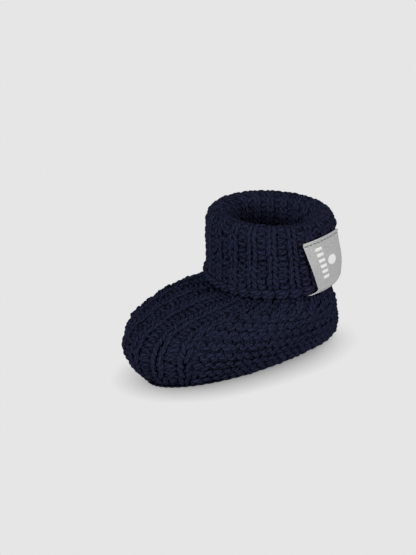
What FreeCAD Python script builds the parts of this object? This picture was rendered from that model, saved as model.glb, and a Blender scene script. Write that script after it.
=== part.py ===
"""A left-foot baby bootie, chunky hand knit, with a turned-down ribbed cuff.

Frame: +Z up, toe towards -Y, heel towards +Y, +X is the wearer's left (the outer side of this foot).
The origin is at the bottom centre of the whole bootie. Millimetres.

The foot is one knitted shell. A place on it is given by two numbers: its turn round the foot
(0 at the back of the heel, pi at the tip of the toe, positive on the +X side) and its rise
(0 at the edge of the sole, 1 at the ankle rim). Each sub-part of the shell is a thick patch
between two turns and two rises.
"""
import FreeCAD, Part
import math
import os
import Sketcher

Vector = FreeCAD.Vector
PI = math.pi

# name, value in millimetres unless the note says otherwise, note
DIMENSIONS = [
    ("sole_length", 87.4, "outline on which the sides stand, heel to toe"),
    ("sole_width", 34.4, "the same, side to side"),
    ("toe_widening", 0.05, "ratio: the toe half is this much wider than the heel half"),
    ("outward_ratio", 1.974, "length to width of the oval that sets which way the sides lean out"),
    ("foot_centre_y", 2.0, "middle of the sole along the foot"),
    ("sole_edge_height", 1.1, "where the sides start above the ground"),
    ("sole_thickness", 3.0, "garter-stitch sole"),
    ("sole_gap", 2.8, "room between the sole panel and the edge of the sides"),
    ("knit_thickness", 4.1, "one layer of the knitted fabric"),
    ("side_bulge", 12.4, "lower handle of the side profile, outwards"),
    ("toe_bulge", 24.4, "the same at the toe"),
    ("heel_bulge", 9.2, "the same at the heel"),
    ("side_rise", 9.8, "lower handle of the side profile, upwards"),
    ("toe_rise", 25.6, "the same at the toe"),
    ("heel_rise", -2.0, "the same at the heel"),
    ("side_shoulder", 9.9, "upper handle of the side profile, outwards"),
    ("instep_shoulder", 28.1, "the same at the instep"),
    ("heel_shoulder", 5.6, "the same at the heel"),
    ("side_drop", 8.1, "upper handle of the side profile, downwards"),
    ("instep_drop", -1.0, "the same at the instep"),
    ("heel_drop", 0.8, "the same at the heel"),
    ("ankle_height", 29.9, "where the foot meets the leg tube"),
    ("garter_top", 0.78, "rise at which the garter sides end and the ribbed ankle band begins"),
    ("seam_yarn_radius", 0.8, "linking yarn between the panels"),
    ("seam_half_gap", 1.15, "half the gap that a linking yarn fills"),
    ("seam_depth", 1.3, "the linking yarn's middle lies this far under the outer face"),
    ("sole_seam_radius", 0.8, "linking yarn round the sole"),
    ("sole_seam_inset", 1.35, "that yarn's middle lies this far inside the edge of the sides"),
    ("cuff_centre_y", 19.4, "axis of the ankle and of the cuff"),
    ("cuff_radius", 26.3, "outside of the turned-down cuff"),
    ("cuff_top", 59.6, "top of the fold"),
    ("fold_radius", 5.1, "outer radius of the fold, half the thickness of the double cuff"),
    ("hem_height", 31.1, "lowest edge of the turned-down cuff"),
    ("bind_off_radius", 2.0, "bound-off chain along the hem"),
    ("joint_gap", 0.1, "air left between faces that only touch"),
    ("label_thickness", 0.7, "woven tape"),
    ("label_gap", 0.2, "air between the tape and the knit"),
    ("label_top", 54.0, "height of the label's upper edge"),
    ("label_width", 21.5, "round the cuff"),
    ("label_turn", 76.0, "degrees from the heel to the middle of the label's upper edge"),
    ("label_lean", 11.0, "degrees that the label's lower end lies nearer the heel"),
    ("label_tuck", 5.0, "length of the label's end tucked up behind the hem"),
    ("stitch_count", 9.0, "number of running stitches that hold the label"),
    ("stitch_length", 1.4, "one running stitch"),
    ("stitch_radius", 0.3, "sewing thread"),
    ("stitch_inset", 2.6, "running stitches lie this far under the label's upper edge"),
]

doc = FreeCAD.newDocument("baby_bootie")
sheet = doc.addObject("Spreadsheet::Sheet", "sizes")
for row, (name, value, note) in enumerate(DIMENSIONS, start=1):
    sheet.set("A%d" % row, name)
    sheet.set("B%d" % row, str(value))
    sheet.set("C%d" % row, note)
    sheet.setAlias("B%d" % row, name)
doc.recompute()

SIZE = {name: float(sheet.get(name)) for name, value, note in DIMENSIONS}
ANKLE_RADIUS = SIZE["cuff_radius"] - 2.0 * SIZE["fold_radius"] + SIZE["knit_thickness"]


# ---------------------------------------------------------------- the shell of the foot

def mix(start, end, share):
    return start + (end - start) * share


def handle(name, turn):
    """A handle's length at this turn: its side value, passing into the toe's and the heel's."""
    toe_name = name.replace("side", "instep" if name in ("side_shoulder", "side_drop") else "toe")
    toe_share = ((1.0 - math.cos(turn)) / 2.0) ** 3
    heel_share = ((1.0 + math.cos(turn)) / 2.0) ** 3
    at_side = SIZE[name]
    return (at_side + (SIZE[toe_name] - at_side) * toe_share
            + (SIZE[name.replace("side", "heel")] - at_side) * heel_share)


def smooth_step(value):
    value = min(max(value, 0.0), 1.0)
    return value * value * (3.0 - 2.0 * value)


def sole_point(turn, inset, height):
    """A point of the egg-shaped sole outline, drawn in by inset."""
    half_length = SIZE["sole_length"] / 2.0 - inset
    half_width = SIZE["sole_width"] / 2.0 - inset
    across = half_width * math.sin(turn) * (1.0 - SIZE["toe_widening"] * math.cos(turn))
    along = SIZE["foot_centre_y"] + half_length * math.cos(turn)
    return Vector(across, along, height)


def outward(turn):
    """Level direction away from the foot, square to its outline."""
    direction = Vector(math.sin(turn) * SIZE["outward_ratio"], math.cos(turn), 0.0)
    return direction.normalize()


def shell_point(turn, rise):
    """A point of the shell's outer face: a cubic Bezier profile from the sole up to the ankle rim."""
    away = outward(turn)
    foot = sole_point(turn, 0.0, SIZE["sole_edge_height"])
    rim = Vector(ANKLE_RADIUS * math.sin(turn),
                 SIZE["cuff_centre_y"] + ANKLE_RADIUS * math.cos(turn),
                 SIZE["ankle_height"])
    lower = foot + away * handle("side_bulge", turn)
    lower.z += handle("side_rise", turn)
    upper = rim + away * handle("side_shoulder", turn)
    upper.z -= handle("side_drop", turn)
    left = 1.0 - rise
    return (foot * left ** 3 + lower * (3.0 * left ** 2 * rise)
            + upper * (3.0 * left * rise ** 2) + rim * rise ** 3)


# How finely each curved thing is described: places up the shell, round it or along a line.
INSTEP_RISES = 19
INSTEP_TURNS = 19
SIDE_RISES = 11
SIDE_TURNS = 25
BAND_RISES = 7
BAND_TURNS = 41
OUTLINE_TURNS = 25
INSTEP_SEAM_POINTS = 12
HEEL_SEAM_POINTS = 6
SOLE_SEAM_POINTS = 33
LABEL_FRONT_POINTS = 9
LABEL_HEM_POINTS = 6
LABEL_TUCK_POINTS = 4
LABEL_WIDTH_POINTS = 9

PROFILE_LENGTH = 30.0       # mm, from the sole's edge to the ankle rim at the sides and the heel
SEAM_LOW_RISE = 0.02        # where the linking yarns start, just above the sole's edge
SEAM_HIGH_RISE = 0.93       # where the instep's linking yarns end, under the cuff
STITCH_MARGIN = 0.07        # share of the label's width left free beside the running stitches
STEP = 0.001                # of turn or rise, for slopes


def along_turn(turn, rise):
    return (shell_point(turn + STEP, rise) - shell_point(turn - STEP, rise)) * (0.5 / STEP)


def along_rise(turn, rise):
    low = max(rise - STEP, 0.0)
    high = min(rise + STEP, 1.0)
    return (shell_point(turn, high) - shell_point(turn, low)) * (1.0 / (high - low))


def shell_normal(turn, rise):
    return along_rise(turn, rise).cross(along_turn(turn, rise)).normalize()


RIM_MITRE_START = 0.82


def shell_point_at_depth(turn, rise, depth):
    """A point under the outer face. Near the rim the depth turns level, to meet the leg tube."""
    level = Vector(math.sin(turn), math.cos(turn), 0.0)
    share = smooth_step((rise - RIM_MITRE_START) / (1.0 - RIM_MITRE_START))
    direction = shell_normal(turn, rise) * (1.0 - share) + level * share
    return shell_point(turn, rise) - direction * depth


SEAM_TURN_AT_SOLE = math.radians(137.0)
SEAM_SWING = math.radians(19.0)
SEAM_SWING_RISE = 0.53
SEAM_SWING_REACH = 0.31
SEAM_CLOSING = math.radians(3.0)


def instep_seam_turn(rise):
    """The line between the ribbed instep and the garter side: it swings forward, then back to the leg."""
    swing = SEAM_SWING * math.exp(-((rise - SEAM_SWING_RISE) / SEAM_SWING_REACH) ** 2)
    return SEAM_TURN_AT_SOLE + swing - SEAM_CLOSING * rise ** 6


def beside_instep_seam(rise, distance):
    """The turn that lies at this distance square to the instep seam, positive towards the toe."""
    here = instep_seam_turn(rise)
    across = along_turn(here, rise)
    slope = (instep_seam_turn(rise + STEP) - instep_seam_turn(rise - STEP)) / (2.0 * STEP)
    line = across * slope + along_rise(here, rise)
    return here + distance * line.Length / across.cross(line).Length


def beside_heel_seam(rise, distance):
    return distance / along_turn(0.0, rise).Length


def spread(start, end, count):
    return [start + (end - start) * index / (count - 1.0) for index in range(count)]


def closed_solid(faces):
    """Sews faces that meet at their edges into one solid."""
    shell = Part.Shell(faces)
    shell.sewShape()
    solid = Part.Solid(shell)
    if solid.Volume < 0.0:
        solid.reverse()
    return solid


def smooth_face(grid):
    """A B-spline face with the grid as its poles: cubic, or straight across where it has two rows."""
    degrees = []
    mults = []
    knots = []
    for count in (len(grid), len(grid[0])):
        degree = min(3, count - 1)
        spans = count - degree
        degrees.append(degree)
        mults.append([degree + 1] + [1] * (spans - 1) + [degree + 1])
        knots.append([place / float(spans) for place in range(spans + 1)])
    surface = Part.BSplineSurface()
    surface.buildFromPolesMultsKnots(grid, mults[0], mults[1], knots[0], knots[1], False, False,
                                     degrees[0], degrees[1])
    return surface.toShape()


def solid_between(outer_grid, inner_grid):
    """The solid between two grids of points, closed with ruled faces round its four sides."""
    faces = [smooth_face(outer_grid), smooth_face(inner_grid)]
    for place in (0, -1):
        faces.append(smooth_face([outer_grid[place], inner_grid[place]]))
        faces.append(smooth_face([[row[place] for row in outer_grid], [row[place] for row in inner_grid]]))
    return closed_solid(faces)


def shell_patch(first_turn, last_turn, rises, turn_count):
    """A thick patch of the shell; first_turn and last_turn give its side edges at each rise."""
    outer_grid = []
    inner_grid = []
    for share in spread(0.0, 1.0, turn_count):
        outer_row = []
        inner_row = []
        for rise in rises:
            turn = mix(first_turn(rise), last_turn(rise), share)
            outer_row.append(shell_point(turn, rise))
            inner_row.append(shell_point_at_depth(turn, rise, SIZE["knit_thickness"]))
        outer_grid.append(outer_row)
        inner_grid.append(inner_row)
    return solid_between(outer_grid, inner_grid)


# ---------------------------------------------------------------- document helpers

made = []


def add_shape(name, shape):
    """A feature whose shape is worked out above, where no sketch or primitive gives it."""
    feature = doc.addObject("Part::Feature", name)
    feature.Label = name
    feature.Shape = shape
    feature.Placement = FreeCAD.Placement()
    made.append(feature)
    return feature


def add_body(name):
    body = doc.addObject("PartDesign::Body", name)
    body.Label = name
    made.append(body)
    return body


def add_sketch(body, name, plane_role):
    sketch = body.newObject("Sketcher::SketchObject", name)
    plane = [feature for feature in body.Origin.OriginFeatures if feature.Role == plane_role][0]
    sketch.AttachmentSupport = (plane, [""])
    sketch.MapMode = "FlatFace"
    return sketch


def bind(sketch, constraint, expression):
    """Adds a dimension to the sketch and ties it to the sheet."""
    index = sketch.addConstraint(constraint)
    sketch.setExpression("Constraints[%d]" % index, expression)


# ---------------------------------------------------------------- sub-parts of the foot

def make_sole_panel():
    """The flat garter-stitch sole."""
    body = add_body("sole_panel")
    sketch = add_sketch(body, "sole_outline", "XY_Plane")
    points = [sole_point(turn, SIZE["sole_gap"], 0.0) for turn in spread(0.0, 2.0 * PI, OUTLINE_TURNS)[:-1]]
    outline = Part.BSplineCurve()
    outline.interpolate(points, True)
    sketch.addGeometry(outline, False)
    pad = body.newObject("PartDesign::Pad", "sole_pad")
    pad.Profile = sketch
    pad.setExpression("Length", "sizes.sole_thickness")
    doc.recompute()


def make_toe_instep_panel():
    """The ribbed panel that runs from the sole over the toe and back to the leg."""
    gap = SIZE["seam_half_gap"]
    patch = shell_patch(lambda rise: beside_instep_seam(rise, gap),
                        lambda rise: 2.0 * PI - beside_instep_seam(rise, gap),
                        spread(0.0, 1.0, INSTEP_RISES), INSTEP_TURNS)
    add_shape("toe_instep_panel", patch)


def make_side_panel(name, side):
    """A garter-stitch side from the instep seam round to the heel seam; side is 1 or -1."""
    gap = SIZE["seam_half_gap"]
    patch = shell_patch(lambda rise: side * beside_heel_seam(rise, gap),
                        lambda rise: side * beside_instep_seam(rise, -gap),
                        spread(0.0, SIZE["garter_top"], SIDE_RISES), SIDE_TURNS)
    add_shape(name, patch)


def make_ankle_band():
    """The ribbed band between the garter sides and the leg, from one instep seam to the other."""
    gap = SIZE["seam_half_gap"]
    low = SIZE["garter_top"] + SIZE["joint_gap"] / PROFILE_LENGTH
    patch = shell_patch(lambda rise: -beside_instep_seam(rise, -gap),
                        lambda rise: beside_instep_seam(rise, -gap),
                        spread(low, 1.0, BAND_RISES), BAND_TURNS)
    add_shape("ankle_band", patch)


def yarn_tube(path_points, radius, closed):
    """A round yarn along a smooth line."""
    line = Part.BSplineCurve()
    line.interpolate(path_points, closed)
    start = line.value(line.FirstParameter)
    direction = line.tangent(line.FirstParameter)[0]
    ring = Part.Wire([Part.Edge(Part.Circle(start, direction, radius))])
    return Part.Wire([line.toShape()]).makePipeShell([ring], True, False)


def make_instep_seam(name, side):
    """The yarn that links the ribbed instep to the garter side and the ankle band."""
    points = []
    for rise in spread(SEAM_LOW_RISE, SEAM_HIGH_RISE, INSTEP_SEAM_POINTS):
        points.append(shell_point_at_depth(side * instep_seam_turn(rise), rise, SIZE["seam_depth"]))
    add_shape(name, yarn_tube(points, SIZE["seam_yarn_radius"], False))


def make_heel_seam():
    """The yarn that links the two garter sides up the back of the heel."""
    points = []
    for rise in spread(SEAM_LOW_RISE, SIZE["garter_top"] - SEAM_LOW_RISE, HEEL_SEAM_POINTS):
        points.append(shell_point_at_depth(0.0, rise, SIZE["seam_depth"]))
    add_shape("heel_seam", yarn_tube(points, SIZE["seam_yarn_radius"], False))


def make_sole_seam():
    """The yarn that links the sole to the sides, all the way round."""
    radius = SIZE["sole_seam_radius"]
    inset = SIZE["sole_seam_inset"]
    points = [sole_point(turn, inset, radius) for turn in spread(0.0, 2.0 * PI, SOLE_SEAM_POINTS)[:-1]]
    add_shape("sole_seam", yarn_tube(points, radius, True))


# ---------------------------------------------------------------- cuff

def make_rib_cuff():
    """The ribbed leg: the inner tube, the fold over the top and the turned-down outer layer."""
    body = add_body("rib_cuff")
    sketch = add_sketch(body, "cuff_profile", "XZ_Plane")
    outside = SIZE["cuff_radius"]
    fold = SIZE["fold_radius"]
    thick = SIZE["knit_thickness"]
    inside = outside - 2.0 * fold
    centre = Vector(outside - fold, SIZE["cuff_top"] - fold, 0.0)
    outer_low = SIZE["hem_height"] + 2.0 * SIZE["bind_off_radius"] + SIZE["joint_gap"]
    inner_low = SIZE["ankle_height"] + SIZE["joint_gap"]

    def add_line(from_x, from_z, to_x, to_z):
        return sketch.addGeometry(Part.LineSegment(Vector(from_x, from_z, 0), Vector(to_x, to_z, 0)), False)

    def add_half_turn(radius):
        circle = Part.Circle(centre, Vector(0, 0, 1), radius)
        return sketch.addGeometry(Part.ArcOfCircle(circle, 0.0, PI), False)

    outer_face = add_line(outside, outer_low, outside, centre.y)
    over_fold = add_half_turn(fold)
    inner_face = add_line(inside, centre.y, inside, inner_low)
    tube_end = add_line(inside, inner_low, inside + thick, inner_low)
    tube_back = add_line(inside + thick, inner_low, inside + thick, centre.y)
    under_fold = add_half_turn(fold - thick)
    outer_back = add_line(outside - thick, centre.y, outside - thick, outer_low)
    hem_end = add_line(outside - thick, outer_low, outside, outer_low)

    start, end, middle = 1, 2, 3
    for first, first_point, second, second_point in (
            (outer_face, end, over_fold, start), (over_fold, end, inner_face, start),
            (inner_face, end, tube_end, start), (tube_end, end, tube_back, start),
            (tube_back, end, under_fold, end), (under_fold, start, outer_back, start),
            (outer_back, end, hem_end, start), (hem_end, end, outer_face, start)):
        sketch.addConstraint(Sketcher.Constraint("Coincident", first, first_point, second, second_point))
    sketch.addConstraint(Sketcher.Constraint("Coincident", over_fold, middle, under_fold, middle))
    for upright in (outer_face, inner_face, tube_back, outer_back):
        sketch.addConstraint(Sketcher.Constraint("Vertical", upright))
    for level in (tube_end, hem_end):
        sketch.addConstraint(Sketcher.Constraint("Horizontal", level))
    sketch.addConstraint(Sketcher.Constraint("Horizontal", over_fold, start, over_fold, middle))
    sketch.addConstraint(Sketcher.Constraint("Horizontal", over_fold, middle, over_fold, end))
    sketch.addConstraint(Sketcher.Constraint("Horizontal", under_fold, start, under_fold, middle))
    sketch.addConstraint(Sketcher.Constraint("Horizontal", under_fold, middle, under_fold, end))
    bind(sketch, Sketcher.Constraint("Radius", over_fold, fold), "sizes.fold_radius")
    bind(sketch, Sketcher.Constraint("Radius", under_fold, fold - thick),
         "sizes.fold_radius - sizes.knit_thickness")
    bind(sketch, Sketcher.Constraint("DistanceX", -1, 1, over_fold, middle, centre.x),
         "sizes.cuff_radius - sizes.fold_radius")
    bind(sketch, Sketcher.Constraint("DistanceY", -1, 1, over_fold, middle, centre.y),
         "sizes.cuff_top - sizes.fold_radius")
    bind(sketch, Sketcher.Constraint("DistanceY", -1, 1, hem_end, start, outer_low),
         "sizes.hem_height + 2 * sizes.bind_off_radius + sizes.joint_gap")
    bind(sketch, Sketcher.Constraint("DistanceY", -1, 1, tube_end, start, inner_low),
         "sizes.ankle_height + sizes.joint_gap")

    turn = body.newObject("PartDesign::Revolution", "cuff_turn")
    turn.Profile = sketch
    turn.ReferenceAxis = (sketch, ["V_Axis"])
    turn.Angle = 360.0
    body.Placement.Base = Vector(0.0, SIZE["cuff_centre_y"], 0.0)
    body.setExpression("Placement.Base.y", "sizes.cuff_centre_y")
    doc.recompute()


def make_hem_bind_off():
    """The bound-off chain of stitches that ends the cuff along its hem."""
    ring = doc.addObject("Part::Torus", "hem_bind_off")
    ring.Label = "hem_bind_off"
    ring.setExpression("Radius1", "sizes.cuff_radius - sizes.knit_thickness / 2")
    ring.setExpression("Radius2", "sizes.bind_off_radius")
    ring.setExpression("Placement.Base.y", "sizes.cuff_centre_y")
    ring.setExpression("Placement.Base.z", "sizes.hem_height + sizes.bind_off_radius")
    made.append(ring)


# ---------------------------------------------------------------- label

def label_profile(offset):
    """The label's run down the cuff, under the hem and up behind it, as (radius, height) pairs."""
    hem_half = SIZE["knit_thickness"] / 2.0
    ring_radius = SIZE["cuff_radius"] - hem_half
    hem_centre = SIZE["hem_height"] + hem_half
    reach = hem_half + SIZE["label_gap"] + offset
    points = [(ring_radius + reach, height)
              for height in spread(SIZE["label_top"], hem_centre, LABEL_FRONT_POINTS)]
    for angle in spread(0.0, -PI, LABEL_HEM_POINTS)[1:-1]:
        points.append((ring_radius + reach * math.cos(angle), hem_centre + reach * math.sin(angle)))
    for height in spread(hem_centre, hem_centre + SIZE["label_tuck"], LABEL_TUCK_POINTS):
        points.append((ring_radius - reach, height))
    return points


def label_turn(height, share):
    """Turn of a place on the label; share runs from 0 at its toe-side edge to 1 at its heel-side edge."""
    half_width = math.degrees(SIZE["label_width"] / 2.0 / SIZE["cuff_radius"])
    fall = (SIZE["label_top"] - height) / (SIZE["label_top"] - SIZE["hem_height"])
    middle = SIZE["label_turn"] - SIZE["label_lean"] * min(fall, 1.0)
    return math.radians(middle + half_width * (1.0 - 2.0 * share))


def cuff_place(turn, radius, height):
    return Vector(radius * math.sin(turn), SIZE["cuff_centre_y"] + radius * math.cos(turn), height)


def make_woven_label():
    """The woven tape folded over the hem."""
    grids = []
    for offset in (SIZE["label_thickness"], 0.0):
        profile = label_profile(offset)
        grids.append([[cuff_place(label_turn(height, share), radius, height) for radius, height in profile]
                      for share in spread(0.0, 1.0, LABEL_WIDTH_POINTS)])
    add_shape("woven_label", solid_between(grids[0], grids[1]))


def make_label_stitching():
    """The row of running stitches near the label's upper edge, each its own solid."""
    count = int(SIZE["stitch_count"])
    height = SIZE["label_top"] - SIZE["stitch_inset"]
    lift = SIZE["label_gap"] + SIZE["label_thickness"] + SIZE["stitch_radius"]
    radius = SIZE["cuff_radius"] + lift
    stitches = []
    for share in spread(STITCH_MARGIN, 1.0 - STITCH_MARGIN, count):
        turn = label_turn(height, share)
        tangent = Vector(math.cos(turn), -math.sin(turn), 0.0)
        start = cuff_place(turn, radius, height) - tangent * (SIZE["stitch_length"] / 2.0)
        stitches.append(Part.makeCylinder(SIZE["stitch_radius"], SIZE["stitch_length"], start, tangent))
    add_shape("label_stitching", Part.makeCompound(stitches))


make_sole_panel()
make_sole_seam()
make_toe_instep_panel()
make_side_panel("outer_side_panel", 1)
make_side_panel("inner_side_panel", -1)
make_instep_seam("outer_instep_seam", 1)
make_instep_seam("inner_instep_seam", -1)
make_heel_seam()
make_ankle_band()
make_rib_cuff()
make_hem_bind_off()
make_woven_label()
make_label_stitching()
doc.recompute()

for item in doc.Objects:
    if "Invalid" in item.State or "Error" in item.State:
        raise RuntimeError("%s did not compute: %s" % (item.Name, item.State))

os.makedirs("parts", exist_ok=True)
low = Vector(1e9, 1e9, 1e9)
high = Vector(-1e9, -1e9, -1e9)
for item in made:
    shape = item.Shape
    if shape.isNull() or not shape.isValid() or not shape.Solids:
        raise RuntimeError("%s has no valid solid" % item.Label)
    shape.exportStep("parts/%s.step" % item.Label)
    box = shape.optimalBoundingBox()
    low = Vector(min(low.x, box.XMin), min(low.y, box.YMin), min(low.z, box.ZMin))
    high = Vector(max(high.x, box.XMax), max(high.y, box.YMax), max(high.z, box.ZMax))
    print("%-18s solids %2d  volume %9.1f mm3" % (item.Label, len(shape.Solids), shape.Volume))
print("box %.2f..%.2f  %.2f..%.2f  %.2f..%.2f" % (low.x, high.x, low.y, high.y, low.z, high.z))
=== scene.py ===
"""The look of the baby bootie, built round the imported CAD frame.

Every knitted area is real yarn geometry: each row of stitches is one tube that follows the loops of
the knitting, laid over surfaces close to those of the CAD solids. Lengths here are in millimetres and
become metres when a mesh is made. A place on the foot is given by its turn round the foot (0 at the
heel, pi at the toe, positive on the +X side) and its rise (0 at the sole's edge, 1 at the ankle rim).
"""

import math

import bpy
import numpy as np
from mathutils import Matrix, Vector


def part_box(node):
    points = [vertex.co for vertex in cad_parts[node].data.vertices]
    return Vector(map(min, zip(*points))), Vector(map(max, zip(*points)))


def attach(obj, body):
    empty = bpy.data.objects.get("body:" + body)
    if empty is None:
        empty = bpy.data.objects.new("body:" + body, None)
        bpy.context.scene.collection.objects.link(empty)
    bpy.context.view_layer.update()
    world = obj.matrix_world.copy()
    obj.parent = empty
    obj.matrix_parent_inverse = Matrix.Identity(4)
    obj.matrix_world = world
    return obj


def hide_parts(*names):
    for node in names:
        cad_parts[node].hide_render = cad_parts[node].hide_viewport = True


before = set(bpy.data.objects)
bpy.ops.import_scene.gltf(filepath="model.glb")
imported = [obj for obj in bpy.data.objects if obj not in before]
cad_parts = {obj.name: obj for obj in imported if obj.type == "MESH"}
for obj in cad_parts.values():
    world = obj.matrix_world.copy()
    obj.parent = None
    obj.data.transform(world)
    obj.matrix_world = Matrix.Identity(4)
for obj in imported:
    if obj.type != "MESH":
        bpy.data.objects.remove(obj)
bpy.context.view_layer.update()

MM = 0.001
PI = math.pi
BODY = "root"
rng = np.random.default_rng(7)


def box_mm(node):
    """A CAD node's lowest and highest corners in millimetres."""
    low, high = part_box(node)
    return np.array(low) / MM, np.array(high) / MM


# ---------------------------------------------------------------- sizes read from the frame

cuff_low, cuff_high = box_mm("rib_cuff")
CUFF_RADIUS = (cuff_high[0] - cuff_low[0]) / 2
CUFF_CENTRE_Y = (cuff_high[1] + cuff_low[1]) / 2
CUFF_TOP = cuff_high[2]
ANKLE_HEIGHT = cuff_low[2]
HEM_HEIGHT = box_mm("hem_bind_off")[0][2]
LABEL_TOP = box_mm("woven_label")[1][2]
sole_low, sole_high = box_mm("sole_panel")
# from the end of the sole panel out to the outer face of the fabric that rises round it
SOLE_GAP = 2.8
SOLE_HALF_LENGTH = (sole_high[1] - sole_low[1]) / 2 + SOLE_GAP
FOOT_CENTRE_Y = (sole_high[1] + sole_low[1]) / 2

# ---------------------------------------------------------------- the shape of the foot's shell

FABRIC = 4.1
FOLD_RADIUS = 5.1
SOLE_HALF_WIDTH = 17.2
TOE_WIDENING = 0.05
OUTLINE_RATIO = 1.974
SOLE_EDGE_HEIGHT = 1.4
# the profile's handles, each for the side, the toe and the heel
LOWER_OUT = (12.4, 25.3, 10.4)
LOWER_UP = (9.8, 20.6, -2.0)
UPPER_OUT = (9.9, 25.1, 4.6)
UPPER_DOWN = (8.1, -4.2, 0.8)
ANKLE_RADIUS = CUFF_RADIUS - 2 * FOLD_RADIUS + FABRIC
# rises and turns of the seams between the areas; turns in degrees
GARTER_TOP = 0.78
SEAM_TURN_AT_SOLE = 137.0
SEAM_SWING = 19.0
SEAM_SWING_RISE = 0.53
SEAM_SWING_REACH = 0.31
SEAM_CLOSING = 3.0


def mix(low, high, share):
    """The value a share of the way from low to high."""
    return low + (high - low) * share


def smooth(value):
    """0 below 0, 1 above 1, with a soft step between."""
    value = np.clip(value, 0.0, 1.0)
    return value * value * (3 - 2 * value)


def unit(vectors):
    """The vectors, each scaled to length 1."""
    return vectors / np.maximum(np.linalg.norm(vectors, axis=-1, keepdims=True), 1e-9)


def handle(lengths, cosine):
    """A handle's length: its side value, passing into the toe's and the heel's."""
    side, toe, heel = lengths
    length = side + (toe - side) * ((1 - cosine) / 2) ** 3 + (heel - side) * ((1 + cosine) / 2) ** 3
    return length[..., None]


def shell_point(turn, rise):
    """The outer face of the knitted foot: a cubic Bezier profile from the sole to the ankle rim."""
    sine, cosine = np.sin(turn), np.cos(turn)
    away = unit(np.stack([sine * OUTLINE_RATIO, cosine, 0 * turn], -1))
    up = np.array([0.0, 0.0, 1.0])
    foot = np.stack([SOLE_HALF_WIDTH * sine * (1 - TOE_WIDENING * cosine),
                     FOOT_CENTRE_Y + SOLE_HALF_LENGTH * cosine,
                     SOLE_EDGE_HEIGHT + 0 * turn], -1)
    rim = np.stack([ANKLE_RADIUS * sine, CUFF_CENTRE_Y + ANKLE_RADIUS * cosine,
                    ANKLE_HEIGHT + 0 * turn], -1)
    lower = foot + away * handle(LOWER_OUT, cosine) + up * handle(LOWER_UP, cosine)
    upper = rim + away * handle(UPPER_OUT, cosine) - up * handle(UPPER_DOWN, cosine)
    rise = np.asarray(rise)[..., None]
    left = 1 - rise
    return (foot * left ** 3 + 3 * lower * left ** 2 * rise
            + 3 * upper * left * rise ** 2 + rim * rise ** 3)


def shell_frame(turn, rise):
    """Points of the outer face and the outward directions there."""
    step = 1e-3
    across = shell_point(turn + step, rise) - shell_point(turn - step, rise)
    upward = shell_point(turn, rise + step) - shell_point(turn, rise - step)
    return shell_point(turn, rise), unit(np.cross(upward, across))


def instep_seam_turn(rise):
    """Where the instep meets the sides: it swings towards the toe over the middle of the foot."""
    swing = np.exp(-((rise - SEAM_SWING_RISE) / SEAM_SWING_REACH) ** 2)
    return np.radians(SEAM_TURN_AT_SOLE + SEAM_SWING * swing - SEAM_CLOSING * rise ** 6)


class ShellPatch:
    """An area of the foot between two lines, from one rise to another.

    place() takes shares across and upwards. Equal shares are equal lengths of fabric; with even off,
    shares across are equal turns. The fabric's middle lies depth mm inside the outer face.
    """

    STEPS = 96

    def __init__(self, first_turn, last_turn, low, high, depth, even=True):
        self.depth = depth
        shares = np.linspace(0, 1, self.STEPS)
        rises = np.linspace(low, high, self.STEPS)
        middle = (first_turn(rises) + last_turn(rises)) / 2
        length = self.run(shell_point(middle, rises))
        self.rises = np.interp(shares, length, rises)
        self.turns = []
        self.widths = []
        for rise in self.rises:
            turns = mix(first_turn(rise), last_turn(rise), shares)
            points = shell_point(turns, np.full(self.STEPS, rise))
            self.turns.append(np.interp(shares, self.run(points), turns) if even else turns)
            self.widths.append(np.linalg.norm(np.diff(points, axis=0), axis=1).sum())
        self.turns = np.array(self.turns)

    @staticmethod
    def run(points):
        """Shares of a line's length at each of its points."""
        steps = np.linalg.norm(np.diff(points, axis=0), axis=1)
        length = np.concatenate([[0], np.cumsum(steps)])
        return length / length[-1]

    def where(self, across, upward):
        """Turn and rise of a place, read from the tables."""
        last = self.STEPS - 1
        column = np.clip(across, 0, 1) * last
        line = np.clip(upward, 0, 1) * last
        left = np.minimum(column.astype(int), last - 1)
        below = np.minimum(line.astype(int), last - 1)
        part_x, part_y = column - left, line - below
        turn = mix(mix(self.turns[below, left], self.turns[below, left + 1], part_x),
                   mix(self.turns[below + 1, left], self.turns[below + 1, left + 1], part_x), part_y)
        rise = mix(self.rises[below], self.rises[below + 1], part_y)
        # a place past an edge goes on at the pace of the whole area
        spare_x = across - np.clip(across, 0, 1)
        spare_y = upward - np.clip(upward, 0, 1)
        turn = turn + spare_x * (self.turns[below, -1] - self.turns[below, 0])
        rise = rise + spare_y * (self.rises[-1] - self.rises[0])
        return turn, rise

    def width(self, upward):
        """The area's width in mm at a share of its height."""
        return float(np.interp(upward, np.linspace(0, 1, self.STEPS), self.widths))

    def place(self, across, upward, height):
        """Points and outward directions, height mm out of the fabric's middle."""
        turn, rise = self.where(across, upward)
        points, normals = shell_frame(turn, rise)
        return points + normals * (height - self.depth)[..., None], normals


# ---------------------------------------------------------------- the cuff's surface

FOLD_MIDDLE = FOLD_RADIUS - FABRIC / 2
FOLD_HEIGHT = CUFF_TOP - FOLD_RADIUS
# the fold is plumper than a plain half turn, so its fabric is longer
FOLD_EASE = 1.0
CUFF_END_HEIGHT = 34.2
INNER_RUN = FOLD_HEIGHT - ANKLE_HEIGHT
FOLD_RUN = PI * (FOLD_MIDDLE + FOLD_EASE)
OUTER_RUN = FOLD_HEIGHT - CUFF_END_HEIGHT
CUFF_RUN = INNER_RUN + FOLD_RUN + OUTER_RUN
# over the fold, loops are pressed flatter and the fabric stands prouder; the rim is higher at the toe
FOLD_PRESS = 0.78
FOLD_PLUMP = 1.1
RIM_TILT = 1.05
# the ribs lean round under the label
RIB_LEAN = math.radians(11.0)
RIB_LEAN_TURN = math.radians(84.0)
RIB_LEAN_REACH = math.radians(34.0)
RIB_LEAN_END = 1.2


def wrapped(turn):
    """The same turn between minus pi and pi."""
    return (turn + PI) % (2 * PI) - PI


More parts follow.
